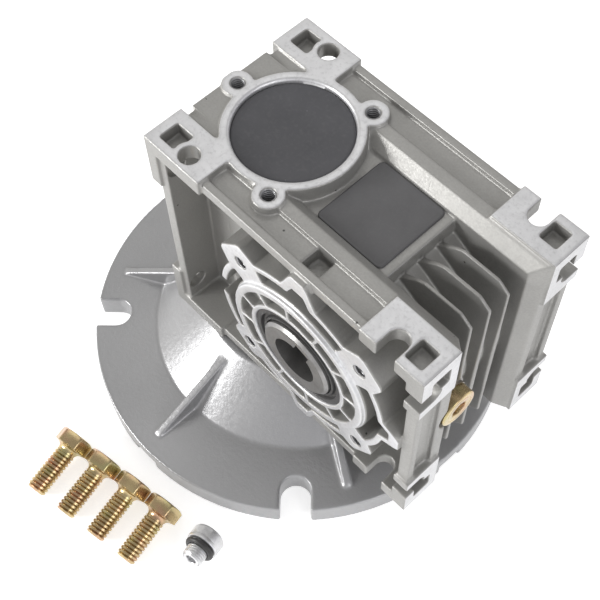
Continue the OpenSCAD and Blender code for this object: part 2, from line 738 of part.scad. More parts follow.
module worm_lower_outer_race() { color("Silver") at_lower() outer_race(lower_bearing); }
module worm_lower_inner_race() { color("Silver") at_lower() inner_race(lower_bearing); }
module worm_lower_balls() { color("White") at_lower() balls(lower_bearing); }
module worm_lower_cage() { color("Goldenrod") at_lower() cage(lower_bearing); }
module worm_upper_outer_race() { color("Silver") at_upper() outer_race(upper_bearing); }
module worm_upper_inner_race() { color("Silver") at_upper() inner_race(upper_bearing); }
module worm_upper_balls() { color("White") at_upper() balls(upper_bearing); }
module worm_upper_cage() { color("Goldenrod") at_upper() cage(upper_bearing); }
module output_near_outer_race() { color("Silver") at_near() outer_race(output_bearing); }
module output_near_inner_race() { color("Silver") at_near() inner_race(output_bearing); }
module output_near_balls() { color("White") at_near() balls(output_bearing); }
module output_near_cage() { color("Goldenrod") at_near() cage(output_bearing); }
module output_far_outer_race() { color("Silver") at_far() outer_race(output_bearing); }
module output_far_inner_race() { color("Silver") at_far() inner_race(output_bearing); }
module output_far_balls() { color("White") at_far() balls(output_bearing); }
module output_far_cage() { color("Goldenrod") at_far() cage(output_bearing); }

module worm_circlip() {
    r = upper_bearing[1];
    color("DarkSlateGray") translate([0, 0, circlip_z + 0.05]) difference() {
        union() {
            tube(r + 1, r - 2.4, circlip_t - 0.05);
            for (s = [-1, 1]) rotate(s * 14 + 180) translate([r - 3.4, 0, 0])
                cylinder(r = 2.2, h = circlip_t - 0.05);
        }
        translate([-far, -3, -1]) cube([far, 6, 4]);
        for (s = [-1, 1]) rotate(s * 14 + 180) translate([r - 3.4, 0, -1])
            cylinder(r = 1, h = 4);
    }
}

// ---- Seals and cap ----

// Shaft seal, drawn along Z with its outer face on top
module oil_seal(r_out, r_in) {
    rotate_extrude() polygon([[r_out, 0], [r_out, seal_width], [r_out - 2, seal_width],
        [r_out - 2.4, seal_width - 1], [r_in + 1.6, seal_width - 1], [r_in + 1.2, seal_width],
        [r_in + 0.4, seal_width], [r_in, seal_width - 1.2], [r_in + 0.8, seal_width - 3],
        [r_in, seal_width - 4.4], [r_in + 1.4, 0.6], [r_in + 2.2, 0.6],
        [r_in + 2, seal_width - 2.4], [r_out - 1.2, seal_width - 2.4], [r_out - 1.2, 0]]);
}

module output_near_oil_seal() {
    color("DimGray") on_output(seal_y) oil_seal(output_seal_r, output_bearing[0] + running_gap);
}

module output_far_oil_seal() {
    color("DimGray") on_far_output(seal_y) oil_seal(output_seal_r, output_bearing[0] + running_gap);
}

module input_oil_seal() {
    color("DimGray") translate([0, 0, input_seal_z + seal_width]) mirror([0, 0, 1])
        oil_seal(input_seal_r, lower_bearing[0] + running_gap);
}

module worm_end_cap() {
    r = upper_bearing[1];
    color("Black") translate([0, 0, cap_z]) difference() {
        union() {
            cylinder(r = r, h = cap_thickness - 0.6);
            translate([0, 0, cap_thickness - 0.6]) cylinder(r1 = r, r2 = r - 0.6, h = 0.6);
        }
        translate([0, 0, -1]) cylinder(r = r - 3, h = cap_thickness - 1);
    }
}

// ---- Output shaft and wheel ----

module output_shaft() {
    r = output_bearing[0] - fit_gap;
    half = output_bearing_y - fit_gap;
    color("Gray") on_output(0) difference() {
        union() {
            translate([0, 0, -shaft_half_length + 1]) cylinder(r = r, h = 2 * shaft_half_length - 2);
            for (m = [0, 1]) mirror([0, 0, m]) translate([0, 0, shaft_half_length - 1])
                cylinder(r1 = r, r2 = r - 1, h = 1);
            translate([0, 0, -half]) cylinder(r = shaft_shoulder_r, h = 2 * half);
            translate([0, 0, -wheel_face / 2]) cylinder(r = wheel_bore_r - fit_gap, h = wheel_face);
        }
        translate([0, 0, -far / 2]) cylinder(r = output_bore_r, h = far);
        rotate(output_key_angle) translate([0, -output_key_w / 2, -far / 2])
            cube([output_bore_r + output_key_t, output_key_w, far]);
    }
}

// Bronze wheel: straight teeth set at the lead angle of the worm
module worm_wheel() {
    w = wheel_face / 2;
    color("DarkGoldenrod") on_output(0) difference() {
        intersection() {
            union() {
                cylinder(r = wheel_root_r, h = wheel_face, center = true);
                for (i = [0:wheel_teeth - 1]) rotate(180 + (i + 0.5) * 360 / wheel_teeth) tooth();
            }
            rotate_extrude() polygon([[1, -w], [wheel_tip_r + 0.6, -w], [wheel_tip_r + 0.9, -w + 1.5],
                [wheel_tip_r - 0.1, -4], [wheel_tip_r - 0.1, 4], [wheel_tip_r + 0.9, w - 1.5],
                [wheel_tip_r + 0.6, w], [1, w]]);
        }
        translate([0, 0, -far / 2]) cylinder(r = wheel_bore_r, h = far);
    }
}

module tooth() {
    half = PI * gear_module / 4 - flank_play / 2;
    t = tan(pressure_angle);
    r0 = wheel_root_r - 1;
    r1 = wheel_tip_r + 1.5;
    b0 = half + (wheel_pitch_r - r0) * t;
    b1 = half - (r1 - wheel_pitch_r) * t;
    rotate([-lead_angle, 0, 0]) translate([0, 0, -wheel_face]) linear_extrude(2 * wheel_face)
        polygon([[r0, -b0], [r1, -b1], [r1, b1], [r0, b0]]);
}

// ---- Fittings on the housing ----

module nameplate() {
    x = (pedestal[0] + pedestal[1]) / 2;
    r = 2;
    color("Black") translate([x, 0, top_z - pedestal_drop]) linear_extrude(plate[2]) union() {
        square([plate[0] - 2 * r, plate[1]], center = true);
        square([plate[0], plate[1] - 2 * r], center = true);
        for (sx = [-1, 1], sy = [-1, 1])
            translate([sx * (plate[0] / 2 - r), sy * (plate[1] / 2 - r)]) circle(r = r);
    }
}

module at_plug(x) { translate([x, -plug_y, wheel_z]) rotate([0, 90, 0]) children(); }

module oil_plug() {
    color("Goldenrod") difference() {
        union() {
            at_plug(plug_seat_x + washer_t) {
                cylinder(r = plug_head_r, h = plug_head - 0.5);
                translate([0, 0, plug_head - 0.5])
                    cylinder(r1 = plug_head_r, r2 = plug_head_r - 0.6, h = 0.5);
            }
            at_plug(plug_seat_x - 5) cylinder(r = plug_thread_r, h = 7);
        }
        at_plug(plug_seat_x + washer_t + 0.8) cylinder(r = 2.9, h = far, $fn = 6);
    }
}

module oil_plug_washer() {
    color("Peru") at_plug(plug_seat_x) tube(plug_head_r + 0.2, plug_thread_r + 0.1, washer_t);
}

// ---- Loose pieces that lie beside the flange ----

module motor_bolt() {
    r = bolt_flats / sqrt(3);
    intersection() {
        cylinder(r = r, h = bolt_head, $fn = 6);
        cylinder(r1 = r + 3, r2 = r - 0.9, h = bolt_head + 1);
    }
    translate([0, 0, -1.4]) cylinder(r1 = bolt_r + 0.6, r2 = bolt_flats / 2 - 0.3, h = 1.4);
    translate([0, 0, -bolt_length]) cylinder(r = bolt_r, h = bolt_length);
}

// The bolts lie side by side, each on a flat of its head and the end of its thread
module motor_bolts() {
    turn = 5;
    rest = bolt_flats / sqrt(3) * cos(30 - turn) + 0.1;
    lie = asin((rest - bolt_r - 0.1) / bolt_length);
    color("Goldenrod") translate([-21.2, -102.3, rest]) rotate(9.8) for (i = [0:3])
        translate([i * bolt_spacing, 0, 0]) rotate([-90 + lie, 0, 0]) rotate(turn) motor_bolt();
}

vent_thread_end = 6.5;
vent_ring = 1.1;

module vent_plug() {
    color("Silver") place_vent() difference() {
        union() {
            cylinder(r = vent_head_r, h = vent_head);
            translate([0, 0, vent_head]) cylinder(r1 = vent_head_r, r2 = vent_head_r - 1.4, h = 1.2);
            translate([0, 0, -2 * vent_ring]) cylinder(r = vent_thread_r - 0.4, h = 2 * vent_ring + 1);
            translate([0, 0, -vent_thread_end])
                cylinder(r = vent_thread_r, h = vent_thread_end - 2 * vent_ring);
        }
        translate([0, 0, -vent_thread_end - 1]) cylinder(r = 2.4, h = 4, $fn = 6);
        translate([0, 0, -vent_thread_end - 1]) cylinder(r = 1.2, h = 10);
    }
}

module vent_plug_o_ring() {
    color("Black") place_vent() translate([0, 0, -vent_ring]) rotate_extrude()
        translate([vent_thread_r - 0.35 + vent_ring, 0]) circle(r = vent_ring - 0.02);
}

module place_vent() {
    rest = vent_head_r * cos(vent_lift) + vent_head * sin(vent_lift) + 0.1;
    translate([43.4, -91.5, rest]) rotate([0, 0, 14]) rotate([-90 - vent_lift, 0, 0])
        children();
}

gearbox_housing();
side_cover();
side_cover_screws();
side_cover_o_ring();
input_flange();
input_flange_screws();
input_flange_gasket();
worm_shaft();
worm_lower_outer_race();
worm_lower_inner_race();
worm_lower_balls();
worm_lower_cage();
worm_upper_outer_race();
worm_upper_inner_race();
worm_upper_balls();
worm_upper_cage();
worm_circlip();
input_oil_seal();
worm_end_cap();
output_shaft();
worm_wheel();
output_near_outer_race();
output_near_inner_race();
output_near_balls();
output_near_cage();
output_near_oil_seal();
output_far_outer_race();
output_far_inner_race();
output_far_balls();
output_far_cage();
output_far_oil_seal();
nameplate();
oil_plug();
oil_plug_washer();
motor_bolts();
vent_plug();
vent_plug_o_ring();
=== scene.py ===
"""A worm gear reducer with its motor flange, four bolts and a vent plug, dressed for rendering."""
import json
import math

import bpy
import numpy as np
from mathutils import Matrix, Vector

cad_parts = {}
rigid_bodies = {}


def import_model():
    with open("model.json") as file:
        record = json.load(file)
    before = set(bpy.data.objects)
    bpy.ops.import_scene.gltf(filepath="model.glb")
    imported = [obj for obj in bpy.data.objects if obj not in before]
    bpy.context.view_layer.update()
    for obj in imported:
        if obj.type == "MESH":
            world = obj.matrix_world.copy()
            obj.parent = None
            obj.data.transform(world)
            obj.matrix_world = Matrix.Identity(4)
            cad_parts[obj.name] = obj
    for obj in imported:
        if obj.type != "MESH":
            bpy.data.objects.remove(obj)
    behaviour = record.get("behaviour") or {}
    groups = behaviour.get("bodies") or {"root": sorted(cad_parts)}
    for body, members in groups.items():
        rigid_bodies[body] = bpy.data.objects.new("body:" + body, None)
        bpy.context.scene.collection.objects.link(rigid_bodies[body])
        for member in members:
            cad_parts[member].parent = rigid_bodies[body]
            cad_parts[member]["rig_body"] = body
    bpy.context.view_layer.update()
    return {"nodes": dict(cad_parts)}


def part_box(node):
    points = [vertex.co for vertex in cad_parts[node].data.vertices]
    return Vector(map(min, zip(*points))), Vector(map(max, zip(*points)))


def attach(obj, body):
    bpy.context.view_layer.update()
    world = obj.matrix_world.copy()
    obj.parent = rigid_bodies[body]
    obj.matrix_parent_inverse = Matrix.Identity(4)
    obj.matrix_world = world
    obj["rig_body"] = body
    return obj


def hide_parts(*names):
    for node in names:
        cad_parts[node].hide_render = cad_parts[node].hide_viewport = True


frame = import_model()
NODES = frame["nodes"]
MM = 0.001
TURN = 2 * math.pi

# ---- Main places, in millimetres: the worm axis is Z, the output axis runs along Y ----
TOP_Z = 131.3
BASE_Z = 31.3
WHEEL = (40.0, 81.3)
STAR_Y = 36.5
PILOT_Y = 38.0
PILOT_R = 30.0
RAIL_SETBACK = 1.2
WALL_GAP_MIDDLE, WALL_GAP_HALF, WALL_GAP_DEPTH = 17.5, 1.75, 5
FIN_PITCH, FIN_THICKNESS, CHAMBER_R = 8.2, 2.2, 40.5
FIN_FROM, FIN_TO, FIN_TAPER = 58, 86, 0.45
TAP_R, TAP_DEPTH, TAP_PITCH, TAP_RIDGE = 2.48, 6.0, 1.0, 0.3
STAR_TAP_R, EAR_TAP_R, EAR_TURN = 37.5, 26.0, 60

# ---- Loose fasteners, in millimetres and degrees, where they lie beside the flange ----
BOLT_FLATS, BOLT_R, BOLT_LENGTH, BOLT_HEAD, BOLT_PITCH = 12.7, 3.95, 20.4, 5.4, 1.5
BOLT_RIDGE, BOLT_NECK_END, BOLT_TURN, BOLT_STEP = 0.7, 2.5, 5.0, 14.95
BOLTS_AT, BOLTS_TURN = (-21.2, -102.3), 9.8
VENT_R, VENT_HEAD, VENT_LIFT, VENT_THREAD_R, VENT_END, VENT_RING = 6.4, 5.0, 12.0, 4.1, 6.5, 1.1
VENT_AT, VENT_TURN, VENT_BORE_R = (43.4, -91.5), 14, 2.1
LIE_GAP = 0.1

# ---- Machined faces as (axis, place, direction), bores as (centre, axis, radius, reach, low, high) ----
HOUSING_PLANES = [(2, TOP_Z, 1), (2, BASE_Z, -1), (1, -STAR_Y, -1), (1, -PILOT_Y, -1),
                  (0, -31.0, -1), (0, 90.0, 1)]
HOUSING_BORES = [((0, 0), 2, 20.4, 0.9, 128.0, TOP_Z), (WHEEL, 1, PILOT_R, 0.5, -38.2, -36.6),
                 (WHEEL, 1, 20.0, 0.5, -38.2, -30.0)]
COVER_PLANES = [(1, STAR_Y, 1), (1, PILOT_Y, 1)]
COVER_BORES = [(WHEEL, 1, PILOT_R, 0.5, 36.6, 38.2), (WHEEL, 1, 20.0, 0.5, 30.0, 38.2)]

# ---- Castings, in millimetres ----
CRISP_REACH, FILLET_REACH, BEND_REACH, BEND_FULL = 1.6, 2.4, 1.8, 0.36


# ---- Tints of the greys ----
WARM = (1.0, 0.985, 0.945)
COOL = (0.985, 0.985, 1.0)


# ---- Camera ----
def make_camera():
    """Looks down on the near left corner, from where the photograph was taken."""
    azimuth, elevation, roll = (math.radians(a) for a in (48.661, 60.248, 2.411))
    side, lift, distance = -2.163, 53.625, 361.941
    focal_pixels, picture_pixels, sensor = 1157.087, 600, 36
    back = Vector((math.sin(azimuth) * math.cos(elevation), -math.cos(azimuth) * math.cos(elevation),
                   math.sin(elevation)))
    right = Vector((math.cos(azimuth), math.sin(azimuth), 0))
    turn = Matrix((right, back.cross(right), back))
    c, s = math.cos(roll), math.sin(roll)
    turn = Matrix(((c, -s, 0), (s, c, 0), (0, 0, 1))) @ turn
    place = Vector((0, 0, TOP_Z)) - turn.transposed() @ Vector((side, lift, -distance))
    data = bpy.data.cameras.new("Camera")
    data.sensor_width = sensor
    data.lens = focal_pixels / picture_pixels * sensor
    data.clip_start = 0.01
    camera = bpy.data.objects.new("Camera", data)
    bpy.context.scene.collection.objects.link(camera)
    camera.matrix_world = Matrix.Translation(place * MM) @ turn.transposed().to_4x4()
    bpy.context.scene.camera = camera


# ---- Node graphs ----
class Graph:
    """A material's node tree, built by calls that take numbers, colours or sockets."""

    def __init__(self, name, tree=None):
        if tree is None:
            self.material = bpy.data.materials.new(name)
            self.material.use_nodes = True
            tree = self.material.node_tree
        self.tree = tree
        tree.nodes.clear()

    def add(self, kind, output=0, settings=None, **sockets):
        node = self.tree.nodes.new("ShaderNode" + kind)
        for key, value in (settings or {}).items():
            setattr(node, key, value)
        for key, value in sockets.items():
            name = int(key[1:]) if key[0] == "_" else key.replace("_", " ")
            socket = node.inputs[name]
            if isinstance(value, bpy.types.NodeSocket):
                self.tree.links.new(value, socket)
            else:
                socket.default_value = value
        return node.outputs[output] if len(node.outputs) else node

    def math(self, operation, a, b=0.0, c=0.0):
        return self.add("Math", 0, {"operation": operation}, _0=a, _1=b, _2=c)

    def mix(self, factor, a, b):
        """Mixes two colours."""
        return self.add("Mix", 2, {"data_type": "RGBA"}, _0=factor, _6=a, _7=b)

    def blend(self, factor, a, b):
        """Mixes two numbers."""
        return self.add("Mix", 0, {"data_type": "FLOAT"}, _0=factor, _2=a, _3=b)

    def place(self, output="Object"):
        return self.add("TexCoord", output)

    def stretched(self, scale):
        return self.add("Mapping", 0, {"vector_type": "POINT"}, Vector=self.place(), Scale=scale)

    def noise(self, scale, detail=3.0, roughness=0.5, vector=None):
        return self.add("TexNoise", "Fac", Vector=vector or self.place(), Scale=scale, Detail=detail,
                        Roughness=roughness)

    def cells(self, scale):
        return self.add("TexVoronoi", "Distance", {"feature": "F1"}, Vector=self.place(), Scale=scale)

    def specks(self, scale, low, high, gate_scale, gate):
        """Round dots, at random over part of the surface."""
        dots = self.ramp(self.cells(scale), low, high, 1.0, 0.0)
        return self.math("MULTIPLY", dots, self.math("GREATER_THAN", self.noise(gate_scale, 0), gate))

    def away(self, axis, centre):
        """Distance from a line along one axis through a centre in mm, and the place it is taken at."""
        place = self.add("SeparateXYZ", Vector=self.place()).node
        across = [k for k in range(3) if k != axis]
        squares = [self.math("POWER", self.math("SUBTRACT", place.outputs[k], c * MM), 2.0)
                   for k, c in zip(across, centre)]
        return self.math("SQRT", self.math("ADD", *squares)), place

    def ramp(self, value, low, high, start=0.0, end=1.0):
        return self.add("MapRange", 0, {"clamp": True}, Value=value, From_Min=low, From_Max=high,
                        To_Min=start, To_Max=end)

    def attribute(self, name):
        return self.add("Attribute", "Fac", {"attribute_name": name})

    def bump(self, height, strength, distance, normal=None):
        extra = {"Normal": normal} if normal else {}
        return self.add("Bump", Height=height, Strength=strength, Distance=distance, **extra)

    def finish(self, **sockets):
        shader = self.add("BsdfPrincipled", **sockets)
        self.add("OutputMaterial", Surface=shader)
        return self.material


def grey(value, tint=(1.0, 1.0, 1.0)):
    return (value * tint[0], value * tint[1], value * tint[2], 1.0)


def plane_mask(g, planes, reach=0.35, facing=0.86):
    """1 on the machined planes, each given as (axis, place in mm, direction)."""
    place = g.add("SeparateXYZ", Vector=g.place()).node
    normal = g.add("SeparateXYZ", Vector=g.place("Normal")).node
    total = None
    for axis, value, direction in planes:
        near = g.math("COMPARE", place.outputs[axis], value * MM, reach * MM)
        faces = g.math("GREATER_THAN", g.math("MULTIPLY", normal.outputs[axis], direction), facing)
        here = g.math("MULTIPLY", near, faces)
        total = here if total is None else g.math("MAXIMUM", total, here)
    return total


def bore_mask(g, centre, axis, radius, reach, low, high):
    """1 on a machined bore or boss about a line along one axis."""
    r, place = g.away(axis, centre)
    near = g.math("COMPARE", r, radius * MM, reach * MM)
    along = g.math("COMPARE", place.outputs[axis], (low + high) / 2 * MM, (high - low) / 2 * MM)
    return g.math("MULTIPLY", near, along)


def cast_metal(name, planes, bores, tone=0.35):
    """Blasted die casting, with machined faces, bright worn edges and painted shade that darkens its hollows.
    """
    g = Graph(name)
    machined = plane_mask(g, planes)
    for bore in bores:
        machined = g.math("MAXIMUM", machined, bore_mask(g, *bore))
    patches = g.noise(38, 3, 0.55)
    grain = g.noise(1500, 3, 0.6)
    flow = g.noise(240, 2, 0.5)
    cast = g.mix(g.ramp(patches, 0.3, 0.7), grey(tone * 0.93, WARM), grey(tone * 1.06, WARM))
    cast = g.mix(g.ramp(grain, 0.35, 0.65, 0.0, 0.16), cast, grey(tone * 0.62, WARM))
    edge = g.attribute("edge")
    ragged = g.math("ADD", edge, g.ramp(g.noise(420, 3, 0.6), 0.3, 0.7, -0.22, 0.22))
    worn = g.ramp(ragged, 0.50, 0.85, 0.0, 0.9)
    cast = g.mix(worn, cast, grey(0.58, WARM))
    # Painted shade: the cast colour is darkened towards half its tone where the surface lies in a hollow or
    # an inner corner.
    hollow = g.ramp(g.attribute("hollow"), 0.1, 0.7, 0.0, 0.30)
    cast = g.mix(hollow, cast, grey(tone * 0.5, WARM))
    cast = g.mix(g.specks(150, 0.045, 0.075, 210, 0.6), cast, grey(0.07, WARM))
    brushed = g.noise(1.0, 2, 0.6, g.stretched((900, 90, 2600)))
    cloud = g.noise(130, 3, 0.5)
    turned = g.mix(g.ramp(cloud, 0.3, 0.7), grey(0.64, COOL), grey(0.72, COOL))
    pits = g.noise(700, 4, 0.7)
    turned = g.mix(g.ramp(pits, 0.52, 0.74, 0.0, 0.45), turned, grey(0.40, COOL))
    turned = g.mix(g.ramp(brushed, 0.45, 0.65, 0.0, 0.12), turned, grey(0.60, COOL))
    colour = g.mix(machined, cast, turned)
    rough = g.blend(machined, g.ramp(grain, 0.3, 0.7, 0.36, 0.50), g.ramp(pits, 0.3, 0.7, 0.34, 0.48))
    metal = g.blend(machined, g.ramp(worn, 0, 1, 0.50, 0.9), 0.75)
    height = g.math("ADD", g.math("MULTIPLY", grain, 0.6), g.math("MULTIPLY", flow, 0.8))
    cast_bump = g.bump(height, 0.42, 0.00012)
    normal = g.bump(g.math("MULTIPLY", brushed, machined), 0.12, 0.00005, cast_bump)
    return g.finish(Base_Color=colour, Roughness=rough, Metallic=metal, Normal=normal)


def flange_paint():
    """Silver-grey sprayed coat on the motor flange: fine orange peel, bright where it has rubbed off."""
    g = Graph("flange_paint")
    patches = g.noise(22, 2, 0.5)
    colour = g.mix(g.ramp(patches, 0.3, 0.7), grey(0.34, COOL), grey(0.39, COOL))
    flake = g.noise(3000, 2, 0.6)
    colour = g.mix(g.ramp(flake, 0.45, 0.75, 0.0, 0.35), colour, grey(0.50, COOL))
    ragged = g.math("ADD", g.attribute("edge"), g.ramp(g.noise(700, 3, 0.65), 0.3, 0.7, -0.35, 0.35))
    worn = g.ramp(ragged, 0.78, 0.98)
    colour = g.mix(worn, colour, grey(0.68, WARM))
    peel = g.noise(620, 2, 0.5)
    dimple = g.noise(1500, 2, 0.55)
    height = g.math("ADD", peel, g.math("MULTIPLY", dimple, 0.35))
    return g.finish(Base_Color=colour, Metallic=g.ramp(worn, 0, 1, 0.55, 0.9),
                    Roughness=g.ramp(peel, 0.3, 0.7, 0.30, 0.40), Normal=g.bump(height, 0.55, 0.00016))


def turned_metal(name, colour, roughness, metallic=0.9, ring=0.10, line=None, tint=None):
    """Turned or ground metal: fine rings round a line (axis, centre in mm), clouded tone, scratches."""
    g = Graph(name)
    cloud = g.noise(160, 3, 0.55)
    second = tint or tuple(c * 0.72 for c in colour)
    base = g.mix(g.ramp(cloud, 0.3, 0.7), (*colour, 1), (*second, 1))
    fine = g.noise(2400, 2, 0.6)
    base = g.mix(g.ramp(fine, 0.4, 0.75, 0.0, 0.2), base, grey(0.1))
    if line:
        axis, centre = line
        radius, place = g.away(axis, centre)
        spot = g.add("CombineXYZ", X=g.math("MULTIPLY", radius, 2800.0),
                     Y=g.math("MULTIPLY", place.outputs[axis], 2800.0))
        rings = g.noise(1.0, 2, 0.5, spot)
    else:
        rings = g.noise(1.0, 2, 0.5, g.stretched((2500, 2500, 300)))
    rough = g.ramp(g.math("ADD", cloud, rings), 0.6, 1.4, roughness * 0.8, roughness * 1.25)
    return g.finish(Base_Color=base, Metallic=metallic, Roughness=rough,
                    Normal=g.bump(rings, ring, 0.00006))


def plastic(name, colour, roughness, grain=0.15, scale=900.0, dust=0.12, speck=0.0):
    """Rubber, paint or paper: matt colour with a fine surface and a little dust."""
    g = Graph(name)
    cloud = g.noise(90, 3, 0.6)
    lighter = [c * 1.22 + 0.004 for c in colour]
    base = g.mix(g.ramp(cloud, 0.3, 0.75), (*colour, 1), (*lighter, 1))
    fine = g.noise(scale, 3, 0.6)
    base = g.mix(g.ramp(fine, 0.5, 0.9, 0.0, dust), base, grey(0.35))
    if speck:
        dots = g.specks(260, 0.035, 0.06, 330, 0.62)
        base = g.mix(g.math("MULTIPLY", dots, speck), base, grey(0.6))
    return g.finish(Base_Color=base, Roughness=g.ramp(fine, 0.3, 0.7, roughness * 0.9, roughness * 1.1),
                    Normal=g.bump(fine, grain, 0.00008))


def zinc_yellow():
    """Chromated zinc: brass colour that drifts to rose and green, as on new bolts."""
    g = Graph("zinc_yellow")
    drift = g.noise(120, 1, 0.5)
    other = g.noise(150, 1, 0.5, g.stretched((1.0, 1.3, 0.8)))
    base = g.mix(g.ramp(drift, 0.34, 0.60), (0.62, 0.49, 0.27, 1), (0.50, 0.38, 0.21, 1))
    base = g.mix(g.ramp(other, 0.54, 0.70, 0.0, 0.5), base, (0.62, 0.33, 0.24, 1))
    base = g.mix(g.ramp(other, 0.46, 0.30, 0.0, 0.4), base, (0.47, 0.50, 0.23, 1))
    fine = g.noise(2200, 2, 0.6)
    return g.finish(Base_Color=base, Metallic=0.92, Roughness=g.ramp(fine, 0.3, 0.7, 0.20, 0.30),
                    Normal=g.bump(g.noise(500, 1, 0.5), 0.05, 0.00004))


# ---- Mesh tools ----
def read(mesh):
    """Vertices of a mesh, in mm."""
    points = np.empty(len(mesh.vertices) * 3, np.float32)
    mesh.vertices.foreach_get("co", points)
    return points.reshape(-1, 3).astype(np.float64) / MM


def new_piece(name, points, faces, node, material, sharp=None, body=None):
    """Makes a mesh object from points in mm, and declares what it stands for."""
    mesh = bpy.data.meshes.new(name)
    mesh.from_pydata((np.asarray(points) * MM).tolist(), [], [list(map(int, f)) for f in faces])
    mesh.validate()
    declare(name, mesh, node, material, sharp, body)


def declare(name, mesh, node, material, sharp=None, body=None):
    """Makes the mesh a piece that replaces a node, or one that is added to a body."""
    mesh.materials.clear()
    mesh.materials.append(material)
    mesh.shade_smooth()
    if sharp:
        mesh.set_sharp_from_angle(angle=math.radians(sharp))
    piece = bpy.data.objects.new(name, mesh)
    bpy.context.scene.collection.objects.link(piece)
    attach(piece, body or NODES[node]["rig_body"])
    if node:
        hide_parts(node)


class Surface:
    """A dense mesh of quads, with the neighbours of each point."""

    def __init__(self, mesh):
        self.points = read(mesh)
        loops = np.empty(len(mesh.loops), np.int32)
        mesh.loops.foreach_get("vertex_index", loops)
        self.quads = loops.reshape(-1, 4)
        q = self.quads
        self.count = len(self.points)
        self.a = np.concatenate([q[:, 0], q[:, 1], q[:, 2], q[:, 3]])
        self.b = np.concatenate([q[:, 1], q[:, 2], q[:, 3], q[:, 0]])
        self.degree = np.maximum(np.bincount(self.a, minlength=self.count), 1)[:, None]

    def mean(self, values):
        flat = values if values.ndim == 2 else values[:, None]
        out = np.stack([np.bincount(self.a, flat[self.b, k], self.count) for k in range(flat.shape[1])], 1)
        out /= self.degree
        return out if values.ndim == 2 else out[:, 0]

    def normals(self):
        p, q = self.points, self.quads
        face = np.cross(p[q[:, 2]] - p[q[:, 0]], p[q[:, 3]] - p[q[:, 1]])
        out = np.stack([sum(np.bincount(q[:, c], face[:, k], self.count) for c in range(4))
                        for k in range(3)], 1)
        return out / np.maximum(np.linalg.norm(out, axis=1, keepdims=True), 1e-9)

    def smooth(self, rounds, weight=0.5, keep=None):
        for _ in range(rounds):
            step = (self.mean(self.points) - self.points) * weight
            if keep is not None:
                step *= (1 - keep)[:, None]
            self.points += step

    def fill_corners(self, rounds, voxel, reach):
        """Grows fillets in the inner corners, and leaves bores and outer edges as they are."""
        normal = self.normals()
        inward = ((self.mean(self.points) - self.points) * normal).sum(1) / voxel
        near = (inward > 0.13).astype(float)
        for _ in range(reach):
            near = np.maximum(near, (self.mean(near) > 1e-6).astype(float))
        for _ in range(2):
            near = self.mean(near)
        for turn in range(rounds):
            if turn % 4 == 0:
                normal = self.normals()
            step = ((self.mean(self.points) - self.points) * normal).sum(1)
            step = np.clip(step, 0, None) * near * 0.6
            self.points += normal * step[:, None]

    def bend(self, spread):
        """How far each point stands out of (+) or lies in (-) its surroundings, in mm."""
        average = self.points.copy()
        for _ in range(spread):
            average = self.mean(average)
        out = ((self.points - average) * self.normals()).sum(1)
        for _ in range(2):
            out = self.mean(out)
        return out


def remesh(node, voxel):
    """The node's solid as an even mesh of quads."""
    work = bpy.data.objects.new("work", NODES[node].data.copy())
    bpy.context.scene.collection.objects.link(work)
    modifier = work.modifiers.new("Remesh", "REMESH")
    modifier.mode = "VOXEL"
    modifier.voxel_size = voxel * MM
    graph = bpy.context.evaluated_depsgraph_get()
    mesh = bpy.data.meshes.new_from_object(work.evaluated_get(graph))
    bpy.data.objects.remove(work)
    return mesh


def casting(node, name, voxel, softness, fillet, material, limit, planes=(), shape=None):
    """A cast piece: the node's solid with soft edges, filled corners, an edge map and a hollow map that the
    cast material uses for painted shade.
    """
    mesh = remesh(node, voxel)
    surface = Surface(mesh)
    crisp = np.zeros(surface.count)
    for axis, value, _ in planes:
        crisp = np.maximum(crisp, np.clip(CRISP_REACH - np.abs(surface.points[:, axis] - value), 0, 1))
    surface.smooth(2)
    surface.smooth(softness, 0.5, crisp * 0.85)
    if shape:
        shape(surface.points)
    surface.fill_corners(fillet, voxel, int(FILLET_REACH / voxel))
    surface.smooth(1, 0.4)
    mesh.vertices.foreach_set("co", (surface.points * MM).astype(np.float32).ravel())
    bend = surface.bend(int(round(BEND_REACH / voxel)))
    # The hollow map marks inner corners and creases, which cast_metal darkens as painted shade.
    for label, sign in (("edge", 1), ("hollow", -1)):
        layer = mesh.attributes.new(label, "FLOAT", "POINT")
        layer.data.foreach_set("value", np.clip(sign * bend / BEND_FULL, 0, 1).astype(np.float32))
    mesh.update()
    work = bpy.data.objects.new("work", mesh)
    bpy.context.scene.collection.objects.link(work)
    modifier = work.modifiers.new("Decimate", "DECIMATE")
    modifier.ratio = min(1.0, limit / (2 * len(surface.quads)))
    graph = bpy.context.evaluated_depsgraph_get()
    reduced = bpy.data.meshes.new_from_object(work.evaluated_get(graph))
    bpy.data.objects.remove(work)
    declare(name, reduced, node, material)


def level_wall(points):
    """The wall beside the worm is level up to the pads, without the channel that the solid has there."""
    beside = (points[:, 0] < 0) & (np.abs(np.abs(points[:, 1]) - WALL_GAP_MIDDLE) < WALL_GAP_HALF)
    for level, way in ((TOP_Z - RAIL_SETBACK, 1), (BASE_Z + RAIL_SETBACK, -1)):
        below = (level - points[:, 2]) * way
        points[beside & (below > 0) & (below < WALL_GAP_DEPTH - RAIL_SETBACK), 2] = level


def draft_fins(points):
    """The cooling fins taper from the gear chamber out to their edges."""
    x, y = points[:, 0], points[:, 1]
    out = np.hypot(x - WHEEL[0], points[:, 2] - WHEEL[1])
    taper = 1 - FIN_TAPER * np.clip((out - CHAMBER_R - 1) / 9, 0, 1) * np.clip((x - FIN_FROM) / 3, 0, 1)
    for middle in (-FIN_PITCH, 0, FIN_PITCH):
        on = (np.abs(y - middle) < FIN_THICKNESS / 2 + 0.3) & (x > FIN_FROM) & (x < FIN_TO)
        points[on, 1] = middle + (points[on, 1] - middle) * taper[on]


def shape_housing(points):
    level_wall(points)
    draft_fins(points)


